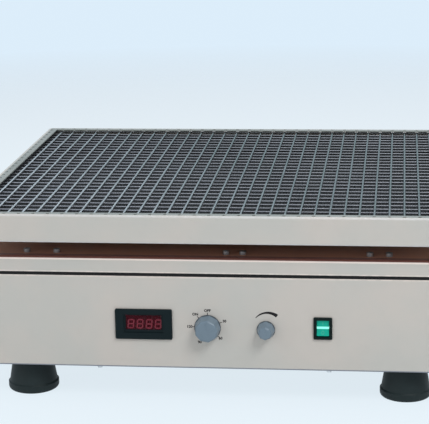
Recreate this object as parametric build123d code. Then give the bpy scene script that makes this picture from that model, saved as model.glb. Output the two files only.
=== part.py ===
from build123d import *
import os
from math import cos, pi, radians, sin

# Orbital platform shaker: a spring-grid tray rides on a crank-driven carriage above a sheet-metal base.
# Millimetres, +Z up. The origin is on the floor under the middle of the tray at rest.

# tray
TRAY_WIDTH, TRAY_DEPTH, TRAY_HEIGHT = 690, 610, 38.5
TRAY_GAP = 25  # between the cover and the tray, where the cranks stand
TRAY_CORNER = 6
TRAY_FLANGE = 5
TRAY_BEND = 3
SHEET = 1.5

# spring grid
SPRING_DIAMETER = 2.8
LONG_PITCH, CROSS_PITCH = 20, 20.4
SPRING_GAP = 0.3
SPRING_DROP = 3.3  # from the top of the tray to the top of the long springs
ROD_DIAMETER = 3
ROD_INSET = 8
COMB_REACH = 16  # from the tray's outer face to the comb's inner edge
COMB_HOLE_RADIUS = 2.4
MAT_THICKNESS = 2
MAT_MARGIN = 16

# orbit
ORBIT_RADIUS = 10
CARRIAGE_WIDTH, CARRIAGE_DEPTH, CARRIAGE_THICKNESS = 470, 390, 6
CARRIAGE_WEB = 12
CARRIAGE_CORNER = 40
GUIDE_INSET = 45  # from the carriage's edges to the guide pins

# base
BASE_WIDTH, BASE_DEPTH = 660, 550
FOOT_HEIGHT = 48.5
SHELL_TOP = 181
SEAM = 5
COVER_TOP = 207.5
BASE_CORNER = 8
COVER_EDGE = 6
COVER_FLANGE = 14
SHELL_FLANGE = 16
BEND = 2
DECK_THICKNESS = 4
TUBE, TUBE_WALL = 25, 2

# feet
FOOT_INSET_X, FOOT_INSET_Y = 66, 51.5
FOOT_TOP_RADIUS, FOOT_RIM_RADIUS = 27.7, 35.8
FOOT_RIM_HEIGHT = 13
FOOT_BOLT_RADIUS = 5

# crank drive
SHAFT_RADIUS = 12.5
PIN_RADIUS = 10
GUIDE_PIN_RADIUS = 6
RUNNING = 0.05
OPEN_PIVOT = 0.15
SEAT_FIT = 0.02
CRANK_THICKNESS = 6
CRANK_CLEARANCE = 1.5
PULLEY_RADIUS, MOTOR_PULLEY_RADIUS = 80, 20
PULLEY_FLANGE, PULLEY_WIDTH = 3, 22
PULLEY_BASE = 84
BELT_THICKNESS, BELT_CLEARANCE = 2.5, 0.3
MOTOR_X = 178
MOTOR_RADIUS, MOTOR_LENGTH = 45, 60
COUNTERWEIGHT_RADIUS, COUNTERWEIGHT_HEIGHT = 85, 24

# front panel
METER, TIMER, SPEED, SWITCH = (-94.2, 113.2), (-6, 109.5), (74, 108), (151.6, 111.3)  # x, height
METER_WIDTH, METER_HEIGHT, METER_DEPTH = 79, 43, 45
METER_RECESS = 55, 26
WINDOW_WIDTH, WINDOW_HEIGHT, WINDOW_RISE = 49.5, 20.5, 2.8
SWITCH_WIDTH, SWITCH_HEIGHT = 25.5, 31
TIMER_KNOB_RADIUS, TIMER_FACE_RADIUS, TIMER_KNOB_LENGTH, TIMER_FACETS = 18.2, 15.8, 19.8, 9
SPEED_KNOB_RADIUS, SPEED_FACE_RADIUS, SPEED_KNOB_LENGTH, SPEED_FACETS = 12.6, 9.4, 19.8, 8
KNOB_SKIRT, KNOB_CHAMFER = 1.5, 1.7
SPINDLE_RADIUS = 3
BUSHING_RADIUS = 4.5
KNOB_GAP = 0.6
ROCKER_ANGLE = 9

# back panel
INLET, FUSE = (200, 112), (150, 112)  # x, height
VENT_LENGTH, VENT_WIDTH, VENT_PITCH, VENT_COUNT = 46, 3, 9, 12

# worked out from the sizes above
CENTRE_Y = -ORBIT_RADIUS
FRONT, BACK = CENTRE_Y - BASE_DEPTH / 2, CENTRE_Y + BASE_DEPTH / 2
TRAY_BASE = COVER_TOP + TRAY_GAP
TRAY_TOP = TRAY_BASE + TRAY_HEIGHT
PLATE_TOP = FOOT_HEIGHT + SHEET
COVER_BASE = SHELL_TOP + SEAM
DECK_TOP = COVER_TOP - SHEET
DECK_BASE = DECK_TOP - DECK_THICKNESS
FRAME_BASE = DECK_BASE - TUBE
CARRIAGE_BASE = TRAY_BASE - CARRIAGE_THICKNESS
CRANK_BASE = DECK_TOP + CRANK_CLEARANCE
CRANK_TOP = CRANK_BASE + CRANK_THICKNESS
PULLEY_TOP = PULLEY_BASE + PULLEY_WIDTH
SPRING_RADIUS = SPRING_DIAMETER / 2
LONG_Z = TRAY_TOP - SPRING_DROP - SPRING_RADIUS
CROSS_Z = LONG_Z - SPRING_DIAMETER - SPRING_GAP
FOOT_X = BASE_WIDTH / 2 - FOOT_INSET_X
FOOT_PLACES = [
    (side * FOOT_X, CENTRE_Y + end * (BASE_DEPTH / 2 - FOOT_INSET_Y))
    for end in (-1, 1)
    for side in (-1, 1)
]
GUIDE_X, GUIDE_Y = CARRIAGE_WIDTH / 2 - GUIDE_INSET, CARRIAGE_DEPTH / 2 - GUIDE_INSET
GUIDE_PLACES = [(side * GUIDE_X, end * GUIDE_Y) for end in (-1, 1) for side in (-1, 1)]


def block(x, y, z):
    """A box between three (low, high) pairs."""
    middle = [(low + high) / 2 for low, high in (x, y, z)]
    return Pos(*middle) * Box(x[1] - x[0], y[1] - y[0], z[1] - z[0])


def disc(radius, low, high, x=0, y=0):
    """An upright cylinder."""
    return Pos(x, y, (low + high) / 2) * Cylinder(radius, high - low)


def prism(width, depth, corner, low, high, y=0):
    """An upright prism with rounded corners."""
    return Pos(0, y, low) * extrude(RectangleRounded(width, depth, corner), high - low)


def turned(points, x=0, y=0):
    """A solid of revolution about an upright axis, from (radius, height) points."""
    profile = make_face(Polyline([(r, 0, z) for r, z in points], close=True))
    return Pos(x, y, 0) * revolve(profile, Axis.Z)


def panel(place):
    """The front panel's frame: local z points out of the panel, local y points up."""
    return Plane(origin=(place[0], FRONT, place[1]), x_dir=(1, 0, 0), z_dir=(0, -1, 0))


def rear(place):
    """The back panel's frame: local z points out of the panel, local y points up."""
    return Plane(origin=(place[0], BACK, place[1]), x_dir=(-1, 0, 0), z_dir=(0, 1, 0))


def rows(span, pitch):
    """Evenly pitched places, symmetric about zero, that fit inside a span."""
    half = int(span / pitch / 2)
    return [pitch * step for step in range(-half, half + 1)]


def socket_screw(shank, length, x=0, y=0, z=0, up=1):
    """A cap screw whose head sits on height z and whose shank runs into the joint."""
    head = Cylinder(shank * 1.6, shank * 1.6, align=(Align.CENTER, Align.CENTER, Align.MIN))
    recess = extrude(Plane.XY.offset(shank * 0.7) * RegularPolygon(shank * 0.85, 6), shank)
    body = Pos(0, 0, -length) * Cylinder(shank, length, align=(Align.CENTER, Align.CENTER, Align.MIN))
    return Pos(x, y, z) * Rot(0 if up > 0 else 180, 0, 0) * (head - recess + body)


def ball_bearing(inner, outer, low, high, x=0, y=0):
    """A shielded bearing: both races flush, the shields set back between them."""
    race, recess = (outer - inner) * 0.24, 0.8
    return turned(
        [
            (inner, low),
            (inner + race, low),
            (inner + race, low + recess),
            (outer - race, low + recess),
            (outer - race, low),
            (outer, low),
            (outer, high),
            (outer - race, high),
            (outer - race, high - recess),
            (inner + race, high - recess),
            (inner + race, high),
            (inner, high),
        ],
        x,
        y,
    )


def save(name, *solids):
    shape = solids[0] if len(solids) == 1 else Compound(children=list(solids))
    shape.label = name
    export_step(shape, f"parts/{name}.step")


# ---------------------------------------------------------------- tray
INNER_X, INNER_Y = TRAY_WIDTH / 2 - COMB_REACH, TRAY_DEPTH / 2 - COMB_REACH
LONG_PLACES = rows(2 * INNER_X - SPRING_DIAMETER, LONG_PITCH)
CROSS_PLACES = rows(2 * INNER_Y - SPRING_DIAMETER, CROSS_PITCH)


def tray_shell():
    """Folded pan: floor, four walls and a narrow flange turned inward at the top."""
    outer = prism(TRAY_WIDTH, TRAY_DEPTH, TRAY_CORNER, TRAY_BASE, TRAY_TOP)
    outer = fillet(outer.faces().sort_by(Axis.Z)[0].edges(), BEND)
    outer = fillet(outer.faces().sort_by(Axis.Z)[-1].edges(), TRAY_BEND)
    inner_size = TRAY_WIDTH - 2 * SHEET, TRAY_DEPTH - 2 * SHEET
    hollow = prism(*inner_size, TRAY_CORNER - SHEET, TRAY_BASE + SHEET, TRAY_TOP - SHEET)
    hollow = fillet(hollow.faces().sort_by(Axis.Z)[-1].edges(), TRAY_BEND - SHEET)
    mouth_x, mouth_y = TRAY_WIDTH / 2 - TRAY_FLANGE, TRAY_DEPTH / 2 - TRAY_FLANGE
    mouth = block((-mouth_x, mouth_x), (-mouth_y, mouth_y), (TRAY_TOP - 2 * SHEET, TRAY_TOP + 1))
    return outer - hollow - mouth


def comb(half_span, edge, places):
    """Strip along +X at the +Y edge, joggled under the flange and drilled over every spring's hook."""
    flange, inner = edge - TRAY_FLANGE, edge - COMB_REACH
    profile = make_face(
        Polyline(
            [
                (0, edge - 2 * SHEET, TRAY_TOP - 2 * SHEET),
                (0, edge - 2 * SHEET, TRAY_TOP - SHEET),
                (0, flange, TRAY_TOP - SHEET),
                (0, flange, TRAY_TOP),
                (0, inner, TRAY_TOP),
                (0, inner, TRAY_TOP - SHEET),
                (0, flange - SHEET, TRAY_TOP - SHEET),
                (0, flange - SHEET, TRAY_TOP - 2 * SHEET),
            ],
            close=True,
        )
    )
    strip = Pos(-half_span, 0, 0) * extrude(profile, 2 * half_span, dir=(1, 0, 0))
    low, high = TRAY_TOP - 3 * SHEET, TRAY_TOP + 1
    return strip - [disc(COMB_HOLE_RADIUS, low, high, place, edge - ROD_INSET) for place in places]


def spring_combs():
    # the end combs butt the side combs, which run the whole depth inside the flange
    ends = comb(INNER_X, TRAY_DEPTH / 2, LONG_PLACES)
    sides = comb(TRAY_DEPTH / 2 - TRAY_FLANGE, TRAY_WIDTH / 2, CROSS_PLACES)
    return [ends, Rot(0, 0, 180) * ends, Rot(0, 0, 90) * sides, Rot(0, 0, -90) * sides]


def along_x(radius, length, y, z):
    return Pos(0, y, z) * Rot(0, 90, 0) * Cylinder(radius, length)


def along_y(radius, length, x, z):
    return Pos(x, 0, z) * Rot(90, 0, 0) * Cylinder(radius, length)


def hook_rods():
    """Rods under the combs that the spring ends hook on, the long pair above the side pair."""
    radius, gap = ROD_DIAMETER / 2, SHEET + SPRING_GAP
    rod_y, rod_x = TRAY_DEPTH / 2 - ROD_INSET, TRAY_WIDTH / 2 - ROD_INSET
    rods = [along_x(radius, TRAY_WIDTH - 2 * gap, side * rod_y, LONG_Z) for side in (-1, 1)]
    return rods + [along_y(radius, TRAY_DEPTH - 2 * gap, side * rod_x, CROSS_Z) for side in (-1, 1)]


def springs():
    reach = ROD_INSET + ROD_DIAMETER / 2 + SPRING_GAP
    long_length, cross_length = TRAY_DEPTH - 2 * reach, TRAY_WIDTH - 2 * reach
    long_springs = [along_y(SPRING_RADIUS, long_length, x, LONG_Z) for x in LONG_PLACES]
    cross_springs = [along_x(SPRING_RADIUS, cross_length, y, CROSS_Z) for y in CROSS_PLACES]
    return long_springs, cross_springs


def rubber_mat():
    low = TRAY_BASE + SHEET
    size = TRAY_WIDTH - 2 * MAT_MARGIN, TRAY_DEPTH - 2 * MAT_MARGIN
    return prism(*size, TRAY_CORNER, low, low + MAT_THICKNESS)


# ---------------------------------------------------------------- carriage under the tray
GUIDE_RACE, DRIVE_RACE = 14, 21
GUIDE_RIM, DRIVE_RIM, PIN_FLANGE = 19, 30, 9
CARRIAGE_SCREW = 3
CARRIAGE_SCREW_SIDE, CARRIAGE_SCREW_END = 12, 60


def window(x, y):
    """A lightening window between two (low, high) pairs, with a web left all round it."""
    width, depth = [high - low - 2 * CARRIAGE_WEB for low, high in (x, y)]
    shape = RectangleRounded(width, depth, CARRIAGE_WEB)
    return Pos(sum(x) / 2, sum(y) / 2, CARRIAGE_BASE - 1) * extrude(shape, CARRIAGE_THICKNESS + 2)


def carriage_plate():
    """Plate with lightening windows between the five bearing stations."""
    plate = prism(CARRIAGE_WIDTH, CARRIAGE_DEPTH, CARRIAGE_CORNER, CARRIAGE_BASE, TRAY_BASE)
    drive, guide = DRIVE_RIM + PIN_FLANGE, GUIDE_RIM + PIN_FLANGE
    windows = [window((drive, GUIDE_X - guide), (-GUIDE_Y + guide, GUIDE_Y - guide))]
    end = GUIDE_Y - guide - CARRIAGE_WEB, CARRIAGE_DEPTH / 2
    windows.append(window((guide - GUIDE_X, GUIDE_X - guide), end))
    windows += [Rot(0, 0, 180) * opening for opening in windows]
    bore = CARRIAGE_SCREW + SEAT_FIT
    holes = [disc(bore, CARRIAGE_BASE - 1, TRAY_BASE + 1, *place) for place in carriage_screw_places()]
    return plate - windows - holes


def carriage_screw_places():
    x, y = CARRIAGE_WIDTH / 2 - CARRIAGE_SCREW_SIDE, CARRIAGE_DEPTH / 2 - CARRIAGE_SCREW_END
    return [(side * x, end * y) for side in (-1, 1) for end in (-1, 0, 1)]


def carriage_screws():
    return [
        socket_screw(CARRIAGE_SCREW, CARRIAGE_THICKNESS, *place, CARRIAGE_BASE, up=-1)
        for place in carriage_screw_places()
    ]


def pin_housing(race, width, rim, x=0, y=0):
    """Flanged ring bolted up against the carriage plate, open below for the pin."""
    low, neck = CARRIAGE_BASE - width, CARRIAGE_BASE - width * 0.45
    flange = rim + PIN_FLANGE
    return turned(
        [
            (race + SEAT_FIT, low),
            (rim, low),
            (rim, neck),
            (flange, neck),
            (flange, CARRIAGE_BASE),
            (race + SEAT_FIT, CARRIAGE_BASE),
        ],
        x,
        y,
    )


DRIVE_PIN_WIDTH, GUIDE_PIN_WIDTH = 12, 9


def carriage_bearings():
    drive = ball_bearing(
        PIN_RADIUS + RUNNING, DRIVE_RACE, CARRIAGE_BASE - DRIVE_PIN_WIDTH, CARRIAGE_BASE
    )
    guides = [
        ball_bearing(
            GUIDE_PIN_RADIUS + OPEN_PIVOT,
            GUIDE_RACE,
            CARRIAGE_BASE - GUIDE_PIN_WIDTH,
            CARRIAGE_BASE,
            *place,
        )
        for place in GUIDE_PLACES
    ]
    return drive, guides


# ---------------------------------------------------------------- cranks
PIN_END_GAP = 1
SHAFT_FOOT = PULLEY_BASE - 4
SHAFT_SEAT = 3  # how far the shaft enters the crank disc
CRANK_RADIUS, CRANK_HUB_RADIUS, CRANK_HUB = 40, 22, 5
DECK_HOLE = 26
HOUSING_BASE = 140
HOUSING_RACE, HOUSING_RACE_WIDTH = 26, 15


def drive_crank():
    """Disc with a hub for the shaft and an eccentric pin that carries the tray."""
    body = disc(CRANK_RADIUS, CRANK_BASE, CRANK_TOP, 0, CENTRE_Y)
    body += disc(CRANK_HUB_RADIUS, CRANK_BASE - CRANK_HUB, CRANK_BASE, 0, CENTRE_Y)
    body += disc(PIN_RADIUS, CRANK_TOP, CARRIAGE_BASE - PIN_END_GAP)
    bore = disc(SHAFT_RADIUS + SEAT_FIT, CRANK_BASE - CRANK_HUB, CRANK_BASE + SHAFT_SEAT, 0, CENTRE_Y)
    return body - bore


def drive_shaft():
    shaft = disc(SHAFT_RADIUS, SHAFT_FOOT, CRANK_BASE + SHAFT_SEAT, 0, CENTRE_Y)
    return chamfer(shaft.edges().sort_by(Axis.Z)[0], 1)


def counterweight():
    """Half disc opposite the crank pin, on a hub round the shaft."""
    low = PULLEY_TOP + 6
    high = low + COUNTERWEIGHT_HEIGHT
    sector = disc(COUNTERWEIGHT_RADIUS, low, high, 0, CENTRE_Y)
    sector -= block(
        (-COUNTERWEIGHT_RADIUS - 1, COUNTERWEIGHT_RADIUS + 1),
        (CENTRE_Y, CENTRE_Y + COUNTERWEIGHT_RADIUS + 1),
        (low - 1, high + 1),
    )
    sector += disc(2 * SHAFT_RADIUS, low, high, 0, CENTRE_Y)
    return sector - disc(SHAFT_RADIUS + SEAT_FIT, low - 1, high + 1, 0, CENTRE_Y)


def pulley(radius, bore, x, web):
    """Flat-belt pulley with two flanges, dished between hub and rim when it is large."""
    low, high = PULLEY_BASE, PULLEY_TOP
    flange, lip = radius + PULLEY_FLANGE, 2
    hub, rim = bore * 2, radius - 8
    points = [(bore, low), (hub, low)]
    if web:
        points += [(hub, low + web), (rim, low + web), (rim, low)]
    points += [(flange, low), (flange, low + lip), (radius, low + lip)]
    points += [(radius, high - lip), (flange, high - lip), (flange, high)]
    if web:
        points += [(rim, high), (rim, high - web), (hub, high - web), (hub, high)]
    points += [(bore, high)]
    body = turned(points, x, CENTRE_Y)
    if web:
        middle = (hub + rim) / 2
        holes = [
            disc(
                (rim - hub) * 0.33,
                low - 1,
                high + 1,
                x + middle * cos(radians(60 * turn)),
                CENTRE_Y + middle * sin(radians(60 * turn)),
            )
            for turn in range(6)
        ]
        body -= holes
    return body


def guide_crank(x, y):
    """Small crank: lower journal in the deck, upper pin one orbit radius further back."""
    base_y = y - ORBIT_RADIUS
    arm = Pos(x, (y + base_y) / 2, CRANK_BASE) * extrude(
        SlotCenterToCenter(ORBIT_RADIUS, 4 * GUIDE_PIN_RADIUS, rotation=90), CRANK_THICKNESS
    )
    journal = disc(GUIDE_PIN_RADIUS, GUIDE_HOUSING_BASE - 2, CRANK_BASE, x, base_y)
    pin = disc(GUIDE_PIN_RADIUS, CRANK_TOP, CARRIAGE_BASE - PIN_END_GAP, x, y)
    return arm + journal + pin


# ---------------------------------------------------------------- bearing housings on the deck
GUIDE_HOUSING_LENGTH = 38
GUIDE_HOUSING_BASE = DECK_BASE - GUIDE_HOUSING_LENGTH
GUIDE_BARREL, GUIDE_HOUSING_FLANGE = 20, 32
DRIVE_BARREL, DRIVE_FLANGE, FLANGE_THICKNESS = 38, 56, 8
RACE_LIP = 2
GUIDE_RACE_WIDTH = 8


def deck_housing(base, barrel, flange, race, race_width, bore, x, y):
    """Cartridge bolted under the deck, counterbored at both ends for its bearings."""
    seat = race + SEAT_FIT
    return turned(
        [
            (bore, base + race_width),
            (seat, base + race_width),
            (seat, base),
            (barrel, base),
            (barrel, DECK_BASE - FLANGE_THICKNESS),
            (flange, DECK_BASE - FLANGE_THICKNESS),
            (flange, DECK_BASE),
            (seat, DECK_BASE),
            (seat, DECK_BASE - race_width),
            (bore, DECK_BASE - race_width),
        ],
        x,
        y,
    )


def deck_bearings():
    drive = [
        ball_bearing(SHAFT_RADIUS + RUNNING, HOUSING_RACE, low, low + HOUSING_RACE_WIDTH, 0, CENTRE_Y)
        for low in (HOUSING_BASE, DECK_BASE - HOUSING_RACE_WIDTH)
    ]
    guides = [
        ball_bearing(
            GUIDE_PIN_RADIUS + RUNNING,
            GUIDE_RACE,
            low,
            low + GUIDE_RACE_WIDTH,
            x,
            y - ORBIT_RADIUS,
        )
        for x, y in GUIDE_PLACES
        for low in (GUIDE_HOUSING_BASE, DECK_BASE - GUIDE_RACE_WIDTH)
    ]
    return drive, guides


# ---------------------------------------------------------------- base
DECK_MARGIN = 8
DECK_SCREW = 3
DECK_SCREW_X = [-260, -218, 18, 41, 214, 240]
DECK_SCREW_INSET = 29
BOTTOM_SCREW = 2


def base_shell():
    """Folded wrapper with a flange turned inward at the bottom and the panel cut-outs."""
    shell = prism(BASE_WIDTH, BASE_DEPTH, BASE_CORNER, PLATE_TOP, SHELL_TOP, CENTRE_Y)
    shell = fillet(shell.faces().sort_by(Axis.Z)[0].edges(), BEND)
    inner = BASE_WIDTH - 2 * SHEET, BASE_DEPTH - 2 * SHEET
    shell -= prism(*inner, BASE_CORNER - SHEET, PLATE_TOP + SHEET, SHELL_TOP + 1, CENTRE_Y)
    mouth = BASE_WIDTH - 2 * SHELL_FLANGE, BASE_DEPTH - 2 * SHELL_FLANGE
    shell -= prism(*mouth, BASE_CORNER, PLATE_TOP - 1, PLATE_TOP + 2 * SHEET, CENTRE_Y)
    deep = 4 * SHEET
    meter_hole = Box(METER_WIDTH - 4, METER_HEIGHT - 4, deep)
    switch_hole = Box(SWITCH_WIDTH - 3, SWITCH_HEIGHT - 3, deep)
    bush_hole = Cylinder(BUSHING_RADIUS + 0.2, deep)
    shell -= [
        panel(METER) * meter_hole,
        panel(SWITCH) * switch_hole,
        panel(TIMER) * bush_hole,
        panel(SPEED) * bush_hole,
        rear(INLET) * Box(INLET_CUT[0], INLET_CUT[1], deep),
        rear(FUSE) * Cylinder(FUSE_RADIUS + 0.2, deep),
    ]
    middle = (VENT_COUNT - 1) / 2
    vents = [
        rear(((step - middle) * VENT_PITCH, INLET[1])) * extrude(
            SlotOverall(VENT_LENGTH, VENT_WIDTH, rotation=90), deep, both=True
        )
        for step in range(VENT_COUNT)
    ]
    return shell - vents


def top_cover():
    """Pressed rim that drops over the deck, with a rounded upper edge."""
    rim = prism(BASE_WIDTH, BASE_DEPTH, BASE_CORNER, COVER_BASE, COVER_TOP, CENTRE_Y)
    rim = fillet(rim.faces().sort_by(Axis.Z)[-1].edges(), COVER_EDGE)
    inner = BASE_WIDTH - 2 * SHEET, BASE_DEPTH - 2 * SHEET
    core = prism(*inner, BASE_CORNER - SHEET, COVER_BASE - 1, DECK_TOP, CENTRE_Y)
    core = fillet(core.faces().sort_by(Axis.Z)[-1].edges(), COVER_EDGE - SHEET)
    mouth = BASE_WIDTH - 2 * COVER_FLANGE, BASE_DEPTH - 2 * COVER_FLANGE
    return rim - core - prism(*mouth, BASE_CORNER, DECK_TOP - 1, COVER_TOP + 1, CENTRE_Y)


def seam_strip():
    """Rubber strip behind the seam between shell and cover."""
    thick, lap = 2.5, 4
    outer = BASE_WIDTH - 2 * SHEET, BASE_DEPTH - 2 * SHEET
    inner = outer[0] - 2 * thick, outer[1] - 2 * thick
    corner = BASE_CORNER - SHEET
    low, high = SHELL_TOP - lap, COVER_BASE + lap
    ring = prism(*outer, corner, low, high, CENTRE_Y)
    return ring - prism(*inner, corner - thick, low - 1, high + 1, CENTRE_Y)


def deck_plate():
    size = BASE_WIDTH - 2 * DECK_MARGIN, BASE_DEPTH - 2 * DECK_MARGIN
    plate = prism(*size, BASE_CORNER, DECK_BASE, DECK_TOP, CENTRE_Y)
    holes = [disc(DECK_HOLE, DECK_BASE - 1, DECK_TOP + 1, 0, CENTRE_Y)]
    holes += [
        disc(GUIDE_RACE - 2, DECK_BASE - 1, DECK_TOP + 1, x, y - ORBIT_RADIUS)
        for x, y in GUIDE_PLACES
    ]
    bore = DECK_SCREW + SEAT_FIT
    holes += [disc(bore, DECK_BASE - 1, DECK_TOP + 1, *place) for place in deck_screw_places()]
    return plate - holes


def deck_screw_places():
    front, back = FRONT + DECK_SCREW_INSET, BACK - DECK_SCREW_INSET
    return [(x, y) for y in (front, back) for x in DECK_SCREW_X]


def deck_screws():
    return [
        socket_screw(DECK_SCREW, DECK_THICKNESS, *place, DECK_TOP) for place in deck_screw_places()
    ]


def square_tube(x, y, z):
    """Square tube along its longest side, given as three (low, high) pairs."""
    outer = block(x, y, z)
    lengths = [high - low for low, high in (x, y, z)]
    along = lengths.index(max(lengths))
    spans = [
        (low - 1, high + 1) if axis == along else (low + TUBE_WALL, high - TUBE_WALL)
        for axis, (low, high) in enumerate((x, y, z))
    ]
    return outer - block(*spans)


def main_frame():
    """Welded frame: a rectangle of square tube with two beams beside the drive and a post over each foot."""
    half, z = TUBE / 2, (FRAME_BASE, DECK_BASE)
    front, back = FOOT_PLACES[0][1], FOOT_PLACES[-1][1]
    frame = square_tube((-FOOT_X - half, FOOT_X + half), (front - half, front + half), z)
    frame += square_tube((-FOOT_X - half, FOOT_X + half), (back - half, back + half), z)
    for side in (-1, 1):
        x = side * FOOT_X
        frame += square_tube((x - half, x + half), (front + half, back - half), z)
        y = CENTRE_Y + side * (DRIVE_FLANGE + TUBE)
        frame += square_tube((-FOOT_X + half, FOOT_X - half), (y - half, y + half), z)
    for x, y in FOOT_PLACES:
        frame += block((x - half, x + half), (y - half, y + half), (PLATE_TOP, FRAME_BASE))
        frame -= disc(FOOT_BOLT_RADIUS + SEAT_FIT, PLATE_TOP - 1, PLATE_TOP + BOLT_GRIP, x, y)
    return frame


def bottom_plate():
    size = BASE_WIDTH - SHELL_FLANGE, BASE_DEPTH - SHELL_FLANGE
    plate = prism(*size, BASE_CORNER, FOOT_HEIGHT, PLATE_TOP, CENTRE_Y)
    plate -= [
        disc(FOOT_BOLT_RADIUS + 0.3, FOOT_HEIGHT - 1, PLATE_TOP + 1, x, y) for x, y in FOOT_PLACES
    ]
    vent = extrude(SlotOverall(VENT_LENGTH * 1.5, VENT_WIDTH * 1.5), 4 * SHEET, both=True)
    vents = [
        Pos(MOTOR_X, CENTRE_Y + 2 * VENT_PITCH * step, FOOT_HEIGHT) * vent for step in range(-3, 4)
    ]
    bore = BOTTOM_SCREW + SEAT_FIT
    holes = [disc(bore, FOOT_HEIGHT - 1, PLATE_TOP + 1, *place) for place in bottom_screw_places()]
    return plate - vents - holes


def bottom_screw_places():
    """Eight places on the lap of the plate over the shell's flange."""
    lap = SHELL_FLANGE * 0.72
    x, y = BASE_WIDTH / 2 - lap, BASE_DEPTH / 2 - lap
    places = [(side * x, CENTRE_Y + end * y / 2) for side in (-1, 1) for end in (-1, 1)]
    return places + [(side * x / 2, CENTRE_Y + end * y) for side in (-1, 1) for end in (-1, 1)]


def bottom_screws():
    return [
        socket_screw(BOTTOM_SCREW, SHEET, *place, FOOT_HEIGHT, up=-1)
        for place in bottom_screw_places()
    ]


# ---------------------------------------------------------------- feet
BOLT_GRIP = 14
FOOT_RECESS_RADIUS, FOOT_SEAT = 14, 22
FOOT_RIM_ROUND = 5


def foot(x, y):
    """Rubber cone on a rounded rim band, recessed below for the bolt head."""
    bore, shoulder = FOOT_BOLT_RADIUS + 0.3, 2
    profile = make_face(
        Polyline(
            [
                (bore, 0, FOOT_SEAT),
                (FOOT_RECESS_RADIUS, 0, FOOT_SEAT),
                (FOOT_RECESS_RADIUS, 0, 0),
                (FOOT_RIM_RADIUS, 0, 0),
                (FOOT_RIM_RADIUS, 0, FOOT_RIM_HEIGHT - shoulder),
                (FOOT_RIM_RADIUS - shoulder, 0, FOOT_RIM_HEIGHT),
                (FOOT_TOP_RADIUS, 0, FOOT_HEIGHT),
                (bore, 0, FOOT_HEIGHT),
            ],
            close=True,
        )
    )
    rim = profile.vertices().sort_by(Axis.X)[-2:].sort_by(Axis.Z)[0]
    return Pos(x, y, 0) * revolve(fillet(rim, FOOT_RIM_ROUND), Axis.Z)


def foot_bolt(x, y):
    washer = disc(FOOT_RECESS_RADIUS - 2, FOOT_SEAT - 2, FOOT_SEAT, x, y)
    head = Pos(x, y, FOOT_SEAT - 2 - 6.4) * extrude(RegularPolygon(9.2, 6), 6.4)
    shank = disc(FOOT_BOLT_RADIUS, FOOT_SEAT, PLATE_TOP + BOLT_GRIP - 1, x, y)
    return washer + head + shank


# ---------------------------------------------------------------- motor and belt
MOTOR_BASE = PULLEY_TOP + 6
BRACKET_THICKNESS = 4
BRACKET_SIDE, BRACKET_END = 5, 18
MOTOR_SHAFT_RADIUS = 6


def motor():
    """Upright motor: finned can between two end bells, boss towards the pulley."""
    low, high = MOTOR_BASE, MOTOR_BASE + MOTOR_LENGTH
    bell, fin = 12, 2
    points = [(MOTOR_SHAFT_RADIUS + RUNNING, low), (MOTOR_RADIUS, low), (MOTOR_RADIUS, low + bell)]
    z = low + bell
    while z + 3 * fin < high - bell:
        points += [(MOTOR_RADIUS - 4, z), (MOTOR_RADIUS - 4, z + 2 * fin)]
        points += [(MOTOR_RADIUS, z + 2 * fin), (MOTOR_RADIUS, z + 3 * fin)]
        z += 3 * fin
    points += [(MOTOR_RADIUS, high - 5), (MOTOR_RADIUS - 5, high), (0, high), (0, high - bell)]
    points += [(MOTOR_SHAFT_RADIUS + RUNNING, high - bell)]
    return turned(points, MOTOR_X, CENTRE_Y)


def motor_bracket():
    """Bridge of bent plate over the belt, standing on the bottom plate."""
    half_x, half_y = MOTOR_RADIUS + BRACKET_SIDE, MOTOR_RADIUS + BRACKET_END
    x = (MOTOR_X - half_x, MOTOR_X + half_x)
    y = (CENTRE_Y - half_y, CENTRE_Y + half_y)
    top = MOTOR_BASE
    bridge = block(x, y, (PLATE_TOP, top))
    gap = (y[0] + BRACKET_THICKNESS, y[1] - BRACKET_THICKNESS)
    bridge -= block((x[0] - 1, x[1] + 1), gap, (PLATE_TOP - 1, top - BRACKET_THICKNESS))
    bridge = fillet(bridge.edges().filter_by(Axis.X).group_by(Axis.Z)[-1], BRACKET_THICKNESS)
    for side in (-1, 1):
        edge = y[0] if side < 0 else y[1]
        toe = sorted((edge, edge + side * 14))
        bridge += block(x, toe, (PLATE_TOP, PLATE_TOP + BRACKET_THICKNESS))
    return bridge - disc(MOTOR_SHAFT_RADIUS + 3, top - 10, top + 1, MOTOR_X, CENTRE_Y)


def motor_shaft():
    return disc(
        MOTOR_SHAFT_RADIUS, PULLEY_BASE - 3, MOTOR_BASE + MOTOR_LENGTH - 13, MOTOR_X, CENTRE_Y
    )


def drive_belt():
    """Flat belt round both pulleys."""
    low, high = PULLEY_BASE + 2.5, PULLEY_TOP - 2.5

    def loop(extra):
        circles = Circle(PULLEY_RADIUS + extra).edges()
        circles += (Pos(MOTOR_X, 0) * Circle(MOTOR_PULLEY_RADIUS + extra)).edges()
        return Pos(0, CENTRE_Y, low) * extrude(make_hull(circles), high - low)

    return loop(BELT_CLEARANCE + BELT_THICKNESS) - loop(BELT_CLEARANCE)


# ---------------------------------------------------------------- electrics
CORE = 90, 40, 75
COIL = 56, 72, 45
CORE_FEET = 110, 3
BOARD = 140, 90, 1.6
BOARD_STAND, BOARD_CORNER = 12, 8
HEAT_SINK = 10, 76, 30
CAPACITOR_RADIUS, CAPACITOR_HEIGHT, CAPACITOR_PITCH = 9, 28, 24
RELAY = 35, 18, 14
TRANSFORMER_INSET_X, TRANSFORMER_INSET_Y = 140, 175  # from the base's left side and its back
BOARD_INSET_X, BOARD_INSET_Y = 140, 175  # from the base's left side and its front


def slab(size, x, y, low):
    """A box of the given size standing on height low over a place."""
    return Pos(x, y, low + size[2] / 2) * Box(*size)


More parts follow.
